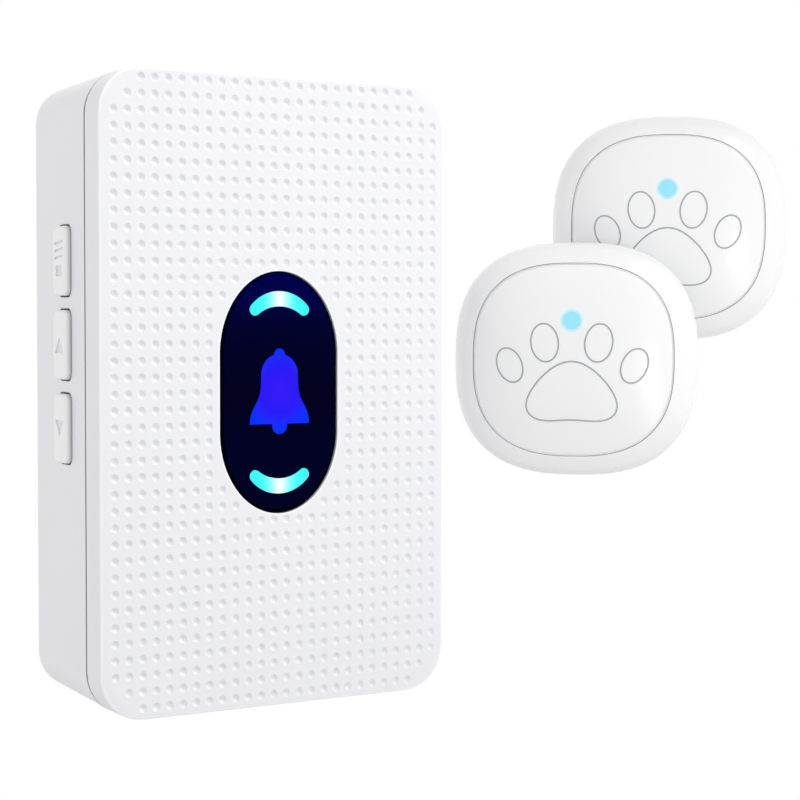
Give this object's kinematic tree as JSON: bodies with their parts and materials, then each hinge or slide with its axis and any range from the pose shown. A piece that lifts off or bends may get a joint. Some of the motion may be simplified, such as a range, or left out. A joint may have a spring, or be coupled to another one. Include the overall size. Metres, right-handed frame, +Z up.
{
  "type": "dog doorbell",
  "caption": "Wireless dog doorbell: plug-in chime receiver with lit bell window and side keys, and domed stick-on press transmitters.",
  "frame": {"origin": "middle of the plug on the wall plane, which is the receiver's back face", "axes": "+Z up, +Y into the wall along the plug blades, +X to the right seen from the front"},
  "size_m": [0.1306, 0.0605, 0.098],
  "materials": {
    "case_white": "satin moulded plastic",
    "key_white": "fine moulded plastic",
    "window_navy": "smoked polished acrylic",
    "bell_light": "lit blue light guide",
    "arc_light": "lit cyan light guide",
    "led_light": "pale blue indicator lens",
    "reflector_white": "matt white",
    "circuit_board": "solder mask",
    "chip_black": "matt moulded black",
    "switch_black": "matt moulded black",
    "board_light": "clear light chip",
    "copper_wire": "drawn copper",
    "lead_red": "sleeved wire",
    "screw_steel": "zinc plated",
    "cell_steel": "nickel plated",
    "magnet_steel": "zinc plated",
    "speaker_black": "painted frame",
    "cone_paper": "pressed paper",
    "core_black": "ferrite core and taped winding",
    "capacitor_can": "sleeved can",
    "fuse_brown": "moulded",
    "plug_brass": "nickel plated brass",
    "plug_white": "moulded insulator",
    "clip_brass": "sprung contact",
    "seal_grey": "soft seal",
    "sticky_foam": "double-sided foam"
  },
  "bodies": {
    "receiver": {"front_cover": "case_white", "rear_case": "case_white", "window_lens": "window_navy", "bell_light_guide": "bell_light", "arc_light_guides": "arc_light", "light_box": "reflector_white", "main_board": "circuit_board", "indicator_leds": "board_light", "control_chip": "chip_black", "radio_aerial": "copper_wire", "board_screws": "screw_steel", "case_screws": "screw_steel", "side_switches": "switch_black", "speaker_basket": "speaker_black", "speaker_cone": "cone_paper", "speaker_magnet": "magnet_steel", "speaker_clamp": "screw_steel", "speaker_leads": "lead_red", "power_board": "circuit_board", "transformer": "core_black", "smoothing_capacitors": "capacitor_can", "fuse": "fuse_brown", "board_header": "switch_black", "plug_blades": "plug_brass", "plug_block": "plug_white"},
    "volume_key": {"volume_button": "key_white", "volume_plunger": "switch_black"},
    "tune_up_key": {"tune_up_button": "key_white", "tune_up_plunger": "switch_black"},
    "tune_down_key": {"tune_down_button": "key_white", "tune_down_plunger": "switch_black"},
    "transmitter_1": {"transmitter_1_base": "case_white", "transmitter_1_bezel": "case_white", "transmitter_1_board": "circuit_board", "transmitter_1_board_led": "board_light", "transmitter_1_switch": "switch_black", "transmitter_1_coin_cell": "cell_steel", "transmitter_1_cell_clip": "clip_brass", "transmitter_1_seal_ring": "seal_grey", "transmitter_1_sticky_pad": "sticky_foam"},
    "transmitter_1_pad": {"transmitter_1_press_pad": "case_white", "transmitter_1_led_lens": "led_light", "transmitter_1_switch_plunger": "switch_black"},
    "transmitter_1_door": {"transmitter_1_battery_door": "case_white", "transmitter_1_door_seal": "seal_grey"},
    "transmitter_2": {"transmitter_2_base": "case_white", "transmitter_2_bezel": "case_white", "transmitter_2_board": "circuit_board", "transmitter_2_board_led": "board_light", "transmitter_2_switch": "switch_black", "transmitter_2_coin_cell": "cell_steel", "transmitter_2_cell_clip": "clip_brass", "transmitter_2_seal_ring": "seal_grey", "transmitter_2_sticky_pad": "sticky_foam"},
    "transmitter_2_pad": {"transmitter_2_press_pad": "case_white", "transmitter_2_led_lens": "led_light", "transmitter_2_switch_plunger": "switch_black"},
    "transmitter_2_door": {"transmitter_2_battery_door": "case_white", "transmitter_2_door_seal": "seal_grey"}
  },
  "joints": [
    {"name": "volume_press", "type": "slide", "parent": "receiver", "child": "volume_key", "axis": [1, 0, 0], "range_m": [0, 0.0006], "stiffness_N_per_m": 3000},
    {"name": "tune_up_press", "type": "slide", "parent": "receiver", "child": "tune_up_key", "axis": [1, 0, 0], "range_m": [0, 0.0006], "stiffness_N_per_m": 3000},
    {"name": "tune_down_press", "type": "slide", "parent": "receiver", "child": "tune_down_key", "axis": [1, 0, 0], "range_m": [0, 0.0006], "stiffness_N_per_m": 3000},
    {"name": "transmitter_1_height", "type": "slide", "parent": "receiver", "child": "transmitter_1", "axis": [0, 0, 1], "range_m": [-0.08, 0]},
    {"name": "transmitter_1_press", "type": "slide", "parent": "transmitter_1", "child": "transmitter_1_pad", "axis": [0.6428, 0.766, 0], "range_m": [0, 0.0008], "stiffness_N_per_m": 3000},
    {"name": "transmitter_1_door_turn", "type": "hinge", "parent": "transmitter_1", "child": "transmitter_1_door", "pos_m": [0.0613, -0.0232, 0.0046], "axis": [-0.6428, -0.766, 0], "range_deg": [0, 40]},
    {"name": "transmitter_2_height", "type": "slide", "parent": "receiver", "child": "transmitter_2", "axis": [0, 0, 1], "range_m": [0, 0.08]},
    {"name": "transmitter_2_press", "type": "slide", "parent": "transmitter_2", "child": "transmitter_2_pad", "axis": [0.6428, 0.766, 0], "range_m": [0, 0.0008], "stiffness_N_per_m": 3000},
    {"name": "transmitter_2_door_turn", "type": "hinge", "parent": "transmitter_2", "child": "transmitter_2_door", "pos_m": [0.0849, -0.0186, 0.0275], "axis": [-0.6428, -0.766, 0], "range_deg": [0, 40]}
  ]
}
